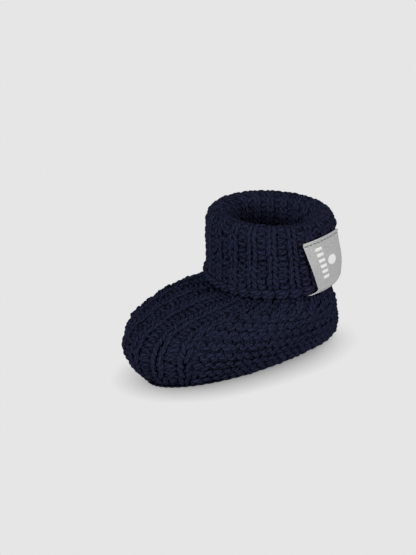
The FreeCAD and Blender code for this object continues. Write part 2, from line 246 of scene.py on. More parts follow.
def cuff_place(turn, run, height):
    """A place on the folded rib: run goes up the inside, over the fold and down the outside."""
    inner = np.clip(run, None, INNER_RUN)
    fold = np.clip(run - INNER_RUN, 0, FOLD_RUN) / FOLD_RUN * PI
    outer = np.clip(run - INNER_RUN - FOLD_RUN, 0, None)
    crest = np.sin(fold) ** 2
    reach = FOLD_MIDDLE + FOLD_PLUMP * crest + height * (1 - FOLD_PRESS * crest)
    radius = CUFF_RADIUS - FOLD_RADIUS - reach * np.cos(fold)
    level = ANKLE_HEIGHT + inner + reach * np.sin(fold) - outer
    drop = np.clip((FOLD_HEIGHT - level) / (FOLD_HEIGHT - HEM_HEIGHT), 0, RIB_LEAN_END)
    level = level - RIM_TILT * np.cos(turn) * np.clip(1 - drop, 0, 1)
    fall = drop * (fold > PI / 2)
    heelward = np.exp(-((wrapped(turn) - RIB_LEAN_TURN) / RIB_LEAN_REACH) ** 2)
    turn = turn - RIB_LEAN * heelward * fall
    sine, cosine = np.sin(turn), np.cos(turn)
    points = np.stack([radius * sine, CUFF_CENTRE_Y + radius * cosine, level], -1)
    outwards = -np.cos(fold)
    normals = np.stack([outwards * sine, outwards * cosine, np.sin(fold)], -1)
    return points, normals


# ---------------------------------------------------------------- yarn

YARN = 0.9
YARN_FLATNESS = 0.9
# in parts of the yarn's radius: the swelling on top of a loop, and lumps
SWELLING = 0.10
LUMPS = 0.07
# in stitches across and rows upwards
LOOP_LEAN = 0.195
LOOP_REACH = 0.889
KNIT_SHARE = 0.05
# the stretch of a loop's phase over which knit passes into purl
SWAY = 0.35 * PI
# the painted shade between loops, by the mm that a place stands off the fabric's middle: it would be
# full at SHADE_LOW, so the middle itself is partly lit, and it ends at SHADE_HIGH
SHADE_LOW = -0.9
SHADE_HIGH = 1.7
# mm by which the yarn's twist differs from one row to the next
TWIST_SHIFT = 3.7


def stitch_path(stitches, rows, face, knit_share, samples, closed=False):
    """The loops of a fabric: for each row, places across (in stitches), upwards (in rows), bend and side.

    face(stitch, row) is 1 where the stitch shows its legs and -1 where it shows its bar. bend is how far
    a place bends towards the viewer (1) or away (-1), and side is the face it belongs to. knit_share
    makes the knit stitches wider than the purl ones.
    """
    count = stitches * samples + (0 if closed else 1)
    along = np.arange(count) / samples
    stitch = np.minimum(along.astype(int), stitches - 1)
    phase = 2 * PI * (along - stitch)
    row = np.arange(rows)[:, None]
    upper = smooth((0.5 - 0.5 * np.cos(phase) - 0.25) / 0.5)

    def side_at(index, level):
        index = index % stitches if closed else np.clip(index, 0, stitches - 1)
        return face(index[None, :], level)

    def settled(level):
        """The face of the fabric, crossing over evenly between neighbouring stitches."""
        own = side_at(stitch, level)
        before = side_at(stitch - 1, level)
        after = side_at(stitch + 1, level)
        entering = smooth(0.5 + 0.5 * phase / SWAY)
        leaving = smooth(0.5 + 0.5 * (2 * PI - phase) / SWAY)
        return mix(before, own, entering) + mix(after, own, leaving) - own

    own_face = settled(row)
    next_face = settled(row + 1)
    bend = -np.cos(2 * phase) * mix(own_face, next_face, upper)
    across = along + LOOP_LEAN * np.sin(2 * phase)
    across = across - knit_share / PI * (np.cos(PI * across) - 1)
    upward = row + 0.5 - LOOP_REACH * np.cos(phase)
    side = (own_face + next_face) / 2
    return [np.broadcast_to(values, (rows, count)) for values in (across, upward, bend, side)]


def wander(shape, reach, per_row=9):
    """Seeded unevenness along each row, as hand knitting has; more knots make it quicker."""
    knots = rng.normal(0, reach, (shape[0], per_row))
    knots[:, -1] = knots[:, 0]
    places = np.linspace(0, per_row - 1, shape[1])
    return np.array([np.interp(places, np.arange(per_row), line) for line in knots])


def sweep(points, normals, radius, closed, sides=8, height=0.0):
    """Tubes along many paths at once: points are (paths, places, 3).

    height is how far each place stands out of the fabric's middle, and gives the painted shade between
    loops.
    """
    paths, places = points.shape[:2]
    if closed:
        ahead, behind = np.roll(points, -1, 1), np.roll(points, 1, 1)
    else:
        ahead = np.concatenate([points[:, 1:], 2 * points[:, -1:] - points[:, -2:-1]], 1)
        behind = np.concatenate([2 * points[:, :1] - points[:, 1:2], points[:, :-1]], 1)
    tangent = unit(ahead - behind)
    aside = unit(np.cross(tangent, normals))
    upright = np.cross(aside, tangent)
    angle = np.arange(sides) * 2 * PI / sides
    radius = np.broadcast_to(radius, (paths, places))[..., None, None]
    stand = np.broadcast_to(height, (paths, places))[..., None] + radius[..., 0] * np.sin(angle)
    # painted shade between loops, kept for the yarn's colour
    open_share = smooth((np.abs(stand) - SHADE_LOW) / (SHADE_HIGH - SHADE_LOW))
    ring = (np.cos(angle)[:, None] * aside[:, :, None, :]
            + YARN_FLATNESS * np.sin(angle)[:, None] * upright[:, :, None, :])
    verts = (points[:, :, None, :] + radius * ring).reshape(-1, 3)
    step = np.linalg.norm(np.diff(points, axis=1), axis=2)
    along = np.concatenate([np.zeros((paths, 1)), np.cumsum(step, 1)], 1)
    along = along + np.arange(paths)[:, None] * TWIST_SHIFT
    round_about = np.broadcast_to(np.stack([np.cos(angle), np.sin(angle), 0 * angle], -1),
                                  (paths, places, sides, 3)).reshape(-1, 3)
    index = np.arange(paths * places * sides).reshape(paths, places, sides)
    if closed:
        here, there = index, np.roll(index, -1, 1)
    else:
        here, there = index[:, :-1], index[:, 1:]
    quads = np.stack([here, np.roll(here, -1, 2), np.roll(there, -1, 2), there], -1).reshape(-1, 4)
    ends = [] if closed else [index[:, 0, ::-1], index[:, -1, :]]
    return {"verts": verts, "quads": quads, "ends": ends, "round": round_about,
            "along": np.repeat(along.reshape(-1), sides), "open": open_share.reshape(-1)}


def joined(parts):
    """Several swept tubes as one set."""
    total = 0
    quads, ends = [], []
    for part in parts:
        quads.append(part["quads"] + total)
        ends += [end + total for end in part["ends"]]
        total += len(part["verts"])
    return {"verts": np.concatenate([part["verts"] for part in parts]), "quads": np.concatenate(quads),
            "ends": ends, "round": np.concatenate([part["round"] for part in parts]),
            "along": np.concatenate([part["along"] for part in parts]),
            "open": np.concatenate([part["open"] for part in parts])}


def build_mesh(name, verts, polygons, smooth_shading=True):
    """A mesh object from vertices in millimetres and a list of index arrays, one per polygon size."""
    mesh = bpy.data.meshes.new(name)
    loops = np.concatenate([group.reshape(-1) for group in polygons])
    sizes = np.concatenate([np.full(len(group), group.shape[1]) for group in polygons])
    starts = np.concatenate([[0], np.cumsum(sizes)[:-1]])
    mesh.vertices.add(len(verts))
    mesh.vertices.foreach_set("co", (verts * MM).astype(np.float32).ravel())
    mesh.loops.add(len(loops))
    mesh.loops.foreach_set("vertex_index", loops.astype(np.int32))
    mesh.polygons.add(len(sizes))
    mesh.polygons.foreach_set("loop_start", starts.astype(np.int32))
    mesh.update(calc_edges=True)
    mesh.validate()
    mesh.polygons.foreach_set("use_smooth", np.full(len(sizes), smooth_shading))
    piece = bpy.data.objects.new(name, mesh)
    bpy.context.scene.collection.objects.link(piece)
    return piece


def yarn_piece(name, tubes, material, slot_name, *nodes):
    """A piece made of yarn, which stands for the named CAD nodes."""
    piece = build_mesh(name, tubes["verts"], [tubes["quads"]] + tubes["ends"])
    mesh = piece.data
    mesh.attributes.new("yarn_round", "FLOAT_VECTOR", "POINT").data.foreach_set(
        "vector", tubes["round"].astype(np.float32).ravel())
    for key in ("along", "open"):
        mesh.attributes.new("yarn_" + key, "FLOAT", "POINT").data.foreach_set(
            "value", tubes[key].astype(np.float32))
    return finish_piece(piece, material, slot_name, *nodes)


def finish_piece(piece, material, slot_name, *nodes):
    """Gives a piece its material and body, and the CAD nodes that it stands for."""
    piece.data.materials.append(material)
    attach(piece, BODY)
    if nodes:
        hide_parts(*nodes)
    return piece


# ---------------------------------------------------------------- materials

def node(tree, kind, **settings):
    """A new shader node with the given input values and properties."""
    made = tree.nodes.new(kind)
    for name, value in settings.items():
        if name in made.inputs:
            made.inputs[name].default_value = value
        else:
            setattr(made, name, value)
    return made


def new_material(name):
    """A new material with its node tree and its main shader."""
    material = bpy.data.materials.new(name)
    material.use_nodes = True
    tree = material.node_tree
    return material, tree, tree.nodes["Principled BSDF"]


def math_node(tree, operation, first, second=None):
    """The output of a new math node whose operands are numbers or other nodes' outputs."""
    made = node(tree, "ShaderNodeMath", operation=operation)
    for socket, value in zip(made.inputs, (first, second)):
        if value is None:
            continue
        if isinstance(value, (int, float)):
            socket.default_value = value
        else:
            tree.links.new(value, socket)
    return made.outputs[0]


PLIES = 5
TWIST_PITCH = 10.0
# shares in the yarn's colour of the painted shade in the grooves between plies, of the fibres and of the
# patches
GROOVE_PAINTED_SHADE = 0.44
FIBRE_TINT = 0.80
PATCH_TINT = 0.15
# shares of the grooves, the fibres and the fuzz in its relief, and the relief's depth in metres
GROOVE_RELIEF = 0.6
FIBRE_RELIEF = 0.4
FUZZ_RELIEF = 0.3
YARN_RELIEF = 0.00048


def yarn_material(name, dark, light):
    """Twisted wool: ply grooves with painted shade, fibres along them and fine fuzz, worked out from the
    yarn's own run.
    """
    material, tree, shader = new_material(name)
    around = node(tree, "ShaderNodeAttribute", attribute_name="yarn_round")
    along = node(tree, "ShaderNodeAttribute", attribute_name="yarn_along")
    split = node(tree, "ShaderNodeSeparateXYZ")
    tree.links.new(around.outputs["Vector"], split.inputs[0])
    angle = math_node(tree, "ARCTAN2", split.outputs["Y"], split.outputs["X"])
    turned = math_node(tree, "MULTIPLY", along.outputs["Fac"], -2 * PI * PLIES / TWIST_PITCH)
    phase = math_node(tree, "ADD", math_node(tree, "MULTIPLY", angle, float(PLIES)), turned)
    half_phase = math_node(tree, "MULTIPLY", phase, 0.5)
    groove = math_node(tree, "ABSOLUTE", math_node(tree, "SINE", half_phase))

    strands = node(tree, "ShaderNodeCombineXYZ")
    tree.links.new(math_node(tree, "MULTIPLY", phase, 0.20), strands.inputs[0])
    tree.links.new(math_node(tree, "MULTIPLY", along.outputs["Fac"], 0.25), strands.inputs[1])
    fibres = node(tree, "ShaderNodeTexNoise", Scale=2.2, Detail=3.0, Roughness=0.65)
    tree.links.new(strands.outputs[0], fibres.inputs["Vector"])

    place = node(tree, "ShaderNodeTexCoord")
    patches = node(tree, "ShaderNodeTexNoise", Scale=140.0, Detail=2.0)
    tree.links.new(place.outputs["Object"], patches.inputs["Vector"])
    fuzz = node(tree, "ShaderNodeTexNoise", Scale=2400.0, Detail=3.0, Roughness=0.7)
    tree.links.new(place.outputs["Object"], fuzz.inputs["Vector"])

    # painted shade: the colour darkens in the grooves between plies
    share = math_node(tree, "ADD", math_node(tree, "MULTIPLY", groove, GROOVE_PAINTED_SHADE),
                      math_node(tree, "MULTIPLY", fibres.outputs["Fac"], FIBRE_TINT))
    share = math_node(tree, "ADD", share,
                      math_node(tree, "MULTIPLY", patches.outputs["Fac"], PATCH_TINT))
    # painted shade between loops: the colour darkens where the yarn lies deep in the fabric
    openness = node(tree, "ShaderNodeAttribute", attribute_name="yarn_open")
    share = math_node(tree, "MULTIPLY", share, openness.outputs["Fac"])
    ramp = node(tree, "ShaderNodeValToRGB")
    ramp.color_ramp.elements[0].position = 0.16
    ramp.color_ramp.elements[0].color = (*dark, 1)
    ramp.color_ramp.elements[1].position = 0.93
    ramp.color_ramp.elements[1].color = (*light, 1)
    tree.links.new(share, ramp.inputs[0])
    tree.links.new(ramp.outputs[0], shader.inputs["Base Color"])

    height = math_node(tree, "ADD", math_node(tree, "MULTIPLY", groove, GROOVE_RELIEF),
                       math_node(tree, "MULTIPLY", fibres.outputs["Fac"], FIBRE_RELIEF))
    height = math_node(tree, "ADD", height,
                       math_node(tree, "MULTIPLY", fuzz.outputs["Fac"], FUZZ_RELIEF))
    bump = node(tree, "ShaderNodeBump", Strength=1.0, Distance=YARN_RELIEF)
    tree.links.new(height, bump.inputs["Height"])
    tree.links.new(bump.outputs[0], shader.inputs["Normal"])
    shader.inputs["Roughness"].default_value = 0.9
    shader.inputs["Specular IOR Level"].default_value = 0.0
    shader.inputs["Sheen Weight"].default_value = 0.012
    shader.inputs["Sheen Roughness"].default_value = 0.4
    shader.inputs["Sheen Tint"].default_value = (0.45, 0.52, 0.85, 1)
    return material


def plain_cloth(name, colour):
    """A matt material with a fine unevenness, for the core sheet, dark as painted shade, and for sewing
    thread.
    """
    material, tree, shader = new_material(name)
    place = node(tree, "ShaderNodeTexCoord")
    noise = node(tree, "ShaderNodeTexNoise", Scale=900.0, Detail=3.0)
    tree.links.new(place.outputs["Object"], noise.inputs["Vector"])
    ramp = node(tree, "ShaderNodeValToRGB")
    ramp.color_ramp.elements[0].color = (*[0.5 * part for part in colour], 1)
    ramp.color_ramp.elements[1].color = (*colour, 1)
    tree.links.new(noise.outputs["Fac"], ramp.inputs[0])
    tree.links.new(ramp.outputs[0], shader.inputs["Base Color"])
    shader.inputs["Roughness"].default_value = 0.95
    shader.inputs["Specular IOR Level"].default_value = 0.0
    return material


NAVY_DARK = (0.0010, 0.0013, 0.0035)
NAVY_LIGHT = (0.0184, 0.0214, 0.0450)
# painted shade: the core sheet is as dark as the shade deep between the loops
NAVY_CORE_PAINTED_SHADE = (0.0015, 0.0018, 0.0042)
navy = yarn_material("navy_wool", NAVY_DARK, NAVY_LIGHT)
core = plain_cloth("navy_core", NAVY_CORE_PAINTED_SHADE)


# ---------------------------------------------------------------- knitted areas

def rib_face(stitch, row):
    """The face of each stitch of one-by-one rib: knit, purl, knit and so on along every row."""
    return np.where((stitch + 0 * row) % 2 == 0, 1.0, -1.0)


def knit_tubes(place, stitches, rows, face, relief, depth=0.7, closed=False, samples=20,
               ridge_from=None, uneven=0.15):
    """Yarn tubes of an area. place(across, upward, height) takes shares of the area.

    depth is how far a loop bends in and out, in mm, and relief how far knit stands above purl, or, with
    ridge_from (the number of the first row), how far the garter ridges stand out.
    """
    across, upward, bend, side = stitch_path(stitches, rows, face, KNIT_SHARE, samples, closed)
    stand = relief * (side if ridge_from is None else -np.cos(PI * (upward + ridge_from)))
    quick = 2 * stitches + 1
    shape = across.shape
    height = depth * bend + stand + wander(shape, uneven) + wander(shape, uneven * 0.8, quick)
    radius = YARN * (1 + SWELLING * bend + wander(shape, LUMPS, quick))
    across = across + wander(shape, uneven * 0.3) + wander(shape, uneven * 0.3, quick)
    upward = upward + wander(shape, uneven * 0.5) + wander(shape, uneven * 0.5, quick)
    points, normals = place(across / stitches, upward / rows, height)
    return sweep(points, normals, radius, closed, height=height)


def slab(name, upper, lower, closed=False):
    """A closed thin piece between two grids; closed joins its first and last columns."""
    lines, columns = upper.shape[:2]
    verts = np.concatenate([upper.reshape(-1, 3), lower.reshape(-1, 3)])
    index = np.arange(lines * columns).reshape(lines, columns)
    if closed:
        left, right = index, np.roll(index, -1, 1)
    else:
        left, right = index[:, :-1], index[:, 1:]
    top = np.stack([left[:-1], right[:-1], right[1:], left[1:]], -1).reshape(-1, 4)
    shift = lines * columns
    quads = [top, top[:, ::-1] + shift]
    for line, order in ((0, 1), (lines - 1, -1)):
        rim = np.stack([left[line], left[line] + shift, right[line] + shift, right[line]], -1)
        quads.append(rim[:, ::order])
    if not closed:
        for column, order in ((0, -1), (columns - 1, 1)):
            edge = index[:, column]
            rim = np.stack([edge[:-1], edge[:-1] + shift, edge[1:] + shift, edge[1:]], -1)
            quads.append(rim[:, ::order])
    return build_mesh(name, verts, [np.concatenate(quads)])


CORE_HALF = 0.35
CORE_SPARE = 0.025


def make_core(name, place, across, upward, closed=False):
    """A thin closed sheet in the middle of the fabric, so that no light passes between the loops; its
    dark colour is painted shade.
    """
    across, upward = np.meshgrid(across, upward)
    upper, lower = (place(across, upward, np.full(across.shape, height))[0]
                    for height in (CORE_HALF, -CORE_HALF))
    finish_piece(slab(name, upper, lower, closed), core, "navy_knit")


def make_patch_core(name, patch, columns, lines):
    """The core of an area of the foot, a little wider than its knitting."""
    make_core(name, patch.place, np.linspace(-CORE_SPARE, 1 + CORE_SPARE, columns),
              np.linspace(-CORE_SPARE, 1 + CORE_SPARE, lines))


# turns left free beside the instep seams and beside the heel seam, in radians
SEAM_CLEAR = math.radians(0.6)
HEEL_CLEAR = 0.02

INSTEP_STITCHES = 9
INSTEP_ROWS = 29


def make_instep():
    """The ribbed instep: five knit ribs with four purl valleys between them."""
    patch = ShellPatch(lambda rise: instep_seam_turn(rise) + SEAM_CLEAR,
                       lambda rise: 2 * PI - instep_seam_turn(rise) - SEAM_CLEAR,
                       low=0.0, high=1.0, depth=1.6)
    tubes = knit_tubes(patch.place, INSTEP_STITCHES, INSTEP_ROWS, rib_face, relief=0.15, samples=24)
    yarn_piece("toe_instep_knit", tubes, navy, "navy_knit", "toe_instep_panel")
    make_patch_core("toe_instep_core", patch, 40, 40)


GARTER_STITCH = 4.0
GARTER_ROWS = 16
# first and last row of each zone; a zone's rows all have the same number of stitches
GARTER_ZONES = ((0, 6), (6, 10), (10, 13), (13, 16))


def garter_zone(patch, first, last):
    """Yarn tubes of the rows from first up to last of a garter-stitch side."""
    rows = last - first

    def place(across, upward, height):
        return patch.place(across, (first + upward * rows) / GARTER_ROWS, height)

    def face(stitch, row):
        return np.where((row + first + 0 * stitch) % 2 == 0, 1.0, -1.0)

    stitches = round(patch.width((first + last) / 2 / GARTER_ROWS) / GARTER_STITCH)
    return knit_tubes(place, stitches, rows, face, relief=0.6, depth=0.85, ridge_from=first, uneven=0.21)


def make_side(name, side, node_name):
    """A garter-stitch side: ridges from the heel round to the instep, with fewer stitches higher up."""
    patch = ShellPatch(lambda rise: side * (HEEL_CLEAR + 0 * rise),
                       lambda rise: side * (instep_seam_turn(rise) - SEAM_CLEAR),
                       low=0.0, high=GARTER_TOP, depth=1.25)
    zones = [garter_zone(patch, first, last) for first, last in GARTER_ZONES]
    yarn_piece(name, joined(zones), navy, "navy_knit", node_name)
    make_patch_core(name.replace("knit", "core"), patch, 60, 30)


ANKLE_OVERLAP = 0.02
ANKLE_STITCHES = 31
ANKLE_ROWS = 4


def make_ankle_band():
    """The ribbed band between the garter sides and the leg."""
    patch = ShellPatch(lambda rise: SEAM_CLEAR - instep_seam_turn(rise),
                       lambda rise: instep_seam_turn(rise) - SEAM_CLEAR,
                       low=GARTER_TOP - ANKLE_OVERLAP, high=1.0, depth=0.8, even=False)
    tubes = knit_tubes(patch.place, ANKLE_STITCHES, ANKLE_ROWS, rib_face, relief=0.2)
    yarn_piece("ankle_band_knit", tubes, navy, "navy_knit", "ankle_band")
    make_patch_core("ankle_band_core", patch, 80, 12)


CUFF_STITCHES = 40
CUFF_ROWS = 24
CUFF_INSIDE_ROWS = 10
CUFF_FIRST_TURN = math.radians(-2.0)


def make_cuff_rows(name, first_row, rows, *nodes):
    """Rows of the leg's rib, counted from the ankle up the inside, over the fold and down the outside."""
    def place(across, upward, height):
        turn = across * 2 * PI + CUFF_FIRST_TURN
        run = (upward * rows + first_row) * CUFF_RUN / CUFF_ROWS
        return cuff_place(turn, run, height)

    tubes = knit_tubes(place, CUFF_STITCHES, rows, rib_face, relief=0.08, closed=True, samples=16)
    yarn_piece(name, tubes, navy, "navy_knit", *nodes)


def make_cuff():
    """The ribbed leg in two pieces: inside the mouth, and over the fold down to the hem."""
    make_cuff_rows("leg_inside_knit", 0, CUFF_INSIDE_ROWS)
    make_cuff_rows("cuff_knit", CUFF_INSIDE_ROWS, CUFF_ROWS - CUFF_INSIDE_ROWS, "rib_cuff")
    make_core("cuff_core", cuff_place, np.linspace(0, 2 * PI, 97)[:-1], np.linspace(0, CUFF_RUN, 50),
              closed=True)


# ---------------------------------------------------------------- chains along the edges

LINK_PLACES = 25
# mm by which a link's ends sink under its neighbours, and how quickly they do
LINK_SINK = 1.2
LINK_SINK_RATE = 3
# the part of its radius by which a link is thicker in its legs than at its ends
LINK_LEAF = 0.30


def chain(path, normals, links, width, yarn, depth=0.5, closed=False, pinch=1.1, reach=LOOP_REACH):
    """A chain of V-shaped links along a line, with the line's places and directions given by functions.

    path(share) and normals(share) take shares of the line. width, yarn (the radius) and depth are in mm;
    pinch draws a link's legs together, and reach is how far it passes through its neighbours.
    """
    phase = np.linspace(0, 2 * PI, LINK_PLACES)
    share = (np.arange(links)[:, None] + 0.5 - reach * np.cos(phase)) / links
    share = share % 1.0 if closed else np.clip(share, 0, 1)
    centre = path(share)
    outward = normals(share)
    step = 1e-3
    forward = unit(path((share + step) % 1.0 if closed else share + step) - centre)
    aside = unit(np.cross(forward, outward))
    across = width * (phase / (2 * PI) - 0.5 + pinch * LOOP_LEAN * np.sin(2 * phase))
    sink = LINK_SINK * np.exp(-np.minimum(phase, 2 * PI - phase) * LINK_SINK_RATE)
    height = -depth * np.cos(2 * phase) - sink
    points = centre + aside * across[None, :, None] + outward * height[None, :, None]
    radius = yarn * (1 - LINK_LEAF * np.cos(2 * phase))
    return sweep(points, outward, radius, False, height=np.maximum(height, SHADE_LOW))


# mm below the cuff's last row and out of its middle, and the way that the chain faces
HEM_DROP = 0.9
HEM_PROUD = 0.2
HEM_TILT = math.radians(-28.0)


def make_hem():
    """The bound-off chain that ends the cuff."""
    def path(share):
        return cuff_place(share * 2 * PI, CUFF_RUN + 0 * share + HEM_DROP, 0 * share + HEM_PROUD)[0]

    def normals(share):
        turn = share * 2 * PI
        return np.stack([np.sin(turn) * math.cos(HEM_TILT), np.cos(turn) * math.cos(HEM_TILT),
                         math.sin(HEM_TILT) + 0 * turn], -1)

    tubes = chain(path, normals, links=34, width=4.0, yarn=1.15, depth=0.8, closed=True, pinch=1.0,
                  reach=0.62)
    yarn_piece("hem_chain", tubes, navy, "navy_knit", "hem_bind_off")


def shell_line(turn_of, top, depth):
    """Path and normal functions of a line up the shell, from the sole's edge to the rise top."""
    def path(share):
        points, outward = shell_frame(turn_of(share * top), share * top)
        return points - outward * depth

    def normals(share):
        return shell_frame(turn_of(share * top), share * top)[1]

    return path, normals


SEAM_TOP = 0.97
SEAM_YARN = 0.7
SOLE_SEAM_INSET = 1.6
SOLE_SEAM_HEIGHT = 1.2
SOLE_SEAM_TILT = -0.3


def make_seams():
    """The linking yarns beside the instep, up the heel and round the sole."""
    for name, side, node_name in (("outer_instep_chain", 1, "outer_instep_seam"),
                                  ("inner_instep_chain", -1, "inner_instep_seam")):
        path, normals = shell_line(lambda rise: side * instep_seam_turn(rise), SEAM_TOP, depth=1.6)
        tubes = chain(path, normals, links=16, width=2.2, yarn=SEAM_YARN)
        yarn_piece(name, tubes, navy, "seam_yarn", node_name)
    path, normals = shell_line(lambda rise: 0 * rise, GARTER_TOP, depth=1.4)
    tubes = chain(path, normals, links=9, width=2.4, yarn=SEAM_YARN)
    yarn_piece("heel_chain", tubes, navy, "seam_yarn", "heel_seam")

    def sole_path(share):
        turn = share * 2 * PI
        edge = shell_point(turn, 0 * turn)
        edge[..., 0] -= SOLE_SEAM_INSET * np.sin(turn)
        edge[..., 1] -= SOLE_SEAM_INSET * np.cos(turn)
        edge[..., 2] = SOLE_SEAM_HEIGHT
        return edge

    def sole_normals(share):
        turn = share * 2 * PI
        return unit(np.stack([np.sin(turn) * OUTLINE_RATIO, np.cos(turn),
                              SOLE_SEAM_TILT + 0 * turn], -1))

    tubes = chain(sole_path, sole_normals, links=60, width=1.6, yarn=0.6, depth=0.2, closed=True)
    yarn_piece("sole_chain", tubes, navy, "seam_yarn", "sole_seam")


# ---------------------------------------------------------------- sole

# the knitted part of the sole keeps clear of the edge, where the linked chain runs
SOLE_MIDDLE = 1.35
SOLE_ROWS = 36
SOLE_STITCH = 4.1
SOLE_KNIT_HALF_LENGTH = SOLE_HALF_LENGTH - 1.4
SOLE_KNIT_HALF_WIDTH = SOLE_HALF_WIDTH - 1.2
SOLE_ROW_CLEAR = 0.4
SOLE_DEPTH = 0.45
SOLE_RELIEF = 0.15
SOLE_UNEVEN = 0.05
SOLE_CORE_HALF = 0.25


def sole_half_width(y):
    """Half the width of the knitted sole, y mm towards the heel from its middle."""
    cosine = np.clip(y / SOLE_KNIT_HALF_LENGTH, -1, 1)
    return SOLE_KNIT_HALF_WIDTH * np.sqrt(1 - cosine ** 2) * (1 - TOE_WIDENING * cosine)


def sole_row(row):
    """The yarn tube of one row across the sole, its face downwards."""
    y = SOLE_KNIT_HALF_LENGTH * (2 * (row + 0.5) / SOLE_ROWS - 1)
    half_width = sole_half_width(np.array(y)) - SOLE_ROW_CLEAR
    stitches = max(2, int(round(2 * half_width / SOLE_STITCH)))
    flip = -1.0 if row % 2 else 1.0

    def face(stitch, level):
        return np.where(level == 0, flip, -flip) + 0.0 * stitch

    across, upward, bend = stitch_path(stitches, 1, face, knit_share=0.0, samples=14)[:3]
    stand = SOLE_DEPTH * bend + SOLE_RELIEF * flip * np.cos(PI * upward)
    height = stand + wander(across.shape, SOLE_UNEVEN)
    at = y + (upward - 0.5) * 2 * SOLE_KNIT_HALF_LENGTH / SOLE_ROWS
    x = (2 * across / stitches - 1) * np.minimum(half_width, sole_half_width(at))
    points = np.stack([x, FOOT_CENTRE_Y + at, SOLE_MIDDLE - height], -1)
    normals = np.broadcast_to(np.array([0.0, 0.0, -1.0]), points.shape)
    return sweep(points, normals, YARN, False, sides=6, height=stand)


def make_sole():
    """The flat garter-stitch sole, its rows running across the foot."""
    rows = [sole_row(row) for row in range(SOLE_ROWS)]
    yarn_piece("sole_knit", joined(rows), navy, "navy_knit", "sole_panel")
    turn, share = np.meshgrid(np.linspace(0, 2 * PI, 73)[:-1], np.linspace(0.02, 0.99, 8))
    x = share * SOLE_HALF_WIDTH * np.sin(turn) * (1 - TOE_WIDENING * np.cos(turn))
    y = FOOT_CENTRE_Y + share * SOLE_HALF_LENGTH * np.cos(turn)
    lower, upper = (np.stack([x, y, SOLE_MIDDLE + height + 0 * turn], -1)
                    for height in (-SOLE_CORE_HALF, SOLE_CORE_HALF))
    finish_piece(slab("sole_core", lower, upper, True), core, "navy_knit")


# ---------------------------------------------------------------- label

LABEL_WIDTH = 21.5
LABEL_THICKNESS = 0.45
# its turn at the top, how far it leans round on the way down, and how far its tucked end is skewed
LABEL_TURN = math.radians(79.0)
LABEL_LEAN = math.radians(17.5)
LABEL_SKEW = math.radians(9.0)
LABEL_HALF_TURN = LABEL_WIDTH / 2 / CUFF_RADIUS
# how far the top edge rises towards the heel side and bows in its middle
LABEL_RISE = 0.6
LABEL_BOW = 0.8
LABEL_CORNER = 0.7
CORNER_RUN = 3.0
# the runs of the tape: the front, the half turn round the hem and the tucked end
LABEL_GAP = 0.35
LABEL_DROP = 0.35
HEM_WRAP = FABRIC / 2 + LABEL_GAP
HEM_CENTRE = HEM_HEIGHT + FABRIC / 2
LABEL_FRONT = LABEL_TOP - HEM_CENTRE - LABEL_DROP
LABEL_ROUND = PI * HEM_WRAP
LABEL_TUCK = 5.0
LABEL_LENGTH = LABEL_FRONT + LABEL_ROUND + LABEL_TUCK
# mm by which the tape stands off the cuff: everywhere, more at both edges, and most at the heel-side
# edge; the power puts the most of the first two a little below the tape's middle
LIFT_ALL = 0.15
LIFT_EDGES = 0.10
LIFT_HEEL_SIDE = 1.0
LIFT_POWER = 1.35
# the row of stitches, mm below the top; above it the tape is turned in, and along it pulled in
STITCH_LINE = 1.45
TURNED_IN = 0.28
PULLED_IN = 0.16


def label_place(across, down, height):
    """A place on the tape, in mm from its toe-side edge and down from its top, and out from its face."""
    share = across / LABEL_WIDTH
    corner = np.clip(1 - np.minimum(across, LABEL_WIDTH - across) / LABEL_CORNER, 0, 1)
    down = down + LABEL_CORNER * (1 - np.sqrt(1 - corner ** 2)) * np.clip(1 - down / CORNER_RUN, 0, 1)
    front = np.clip(down, None, LABEL_FRONT)
    bend = np.clip((down - LABEL_FRONT) / LABEL_ROUND, 0, 1) * PI
    tuck = np.clip(down - LABEL_FRONT - LABEL_ROUND, 0, None)
    fall = front / LABEL_FRONT
    edge = (2 * share - 1) ** 2
    lift = np.sin(PI * np.clip(fall, 0, 1) ** LIFT_POWER) ** 2 * (LIFT_ALL + LIFT_EDGES * edge)
    lift = lift + LIFT_HEEL_SIDE * share ** 3 * smooth(fall / 0.9)
    lift = lift * np.cos(bend / 2) ** 2
    folded = TURNED_IN * smooth((STITCH_LINE - down) / 0.5)
    folded = folded - PULLED_IN * np.exp(-((down - STITCH_LINE) / 0.3) ** 2)
    reach = HEM_WRAP + height + lift + folded
    radius = CUFF_RADIUS - FABRIC / 2 + reach * np.cos(bend)
    raised = LABEL_RISE * share + LABEL_BOW * 4 * share * (1 - share)
    level = HEM_CENTRE + (LABEL_FRONT - front) + raised * (1 - fall)
    level = level - reach * np.sin(bend) + tuck
    turn = LABEL_TURN - LABEL_LEAN * fall + LABEL_HALF_TURN * (1 - 2 * share)
    turn = turn + LABEL_SKEW * smooth(bend / (0.6 * PI))
    points = np.stack([radius * np.sin(turn), CUFF_CENTRE_Y + radius * np.cos(turn), level], -1)
    normals = np.stack([np.cos(bend) * np.sin(turn), np.cos(bend) * np.cos(turn), -np.sin(bend)], -1)
    return points, normals


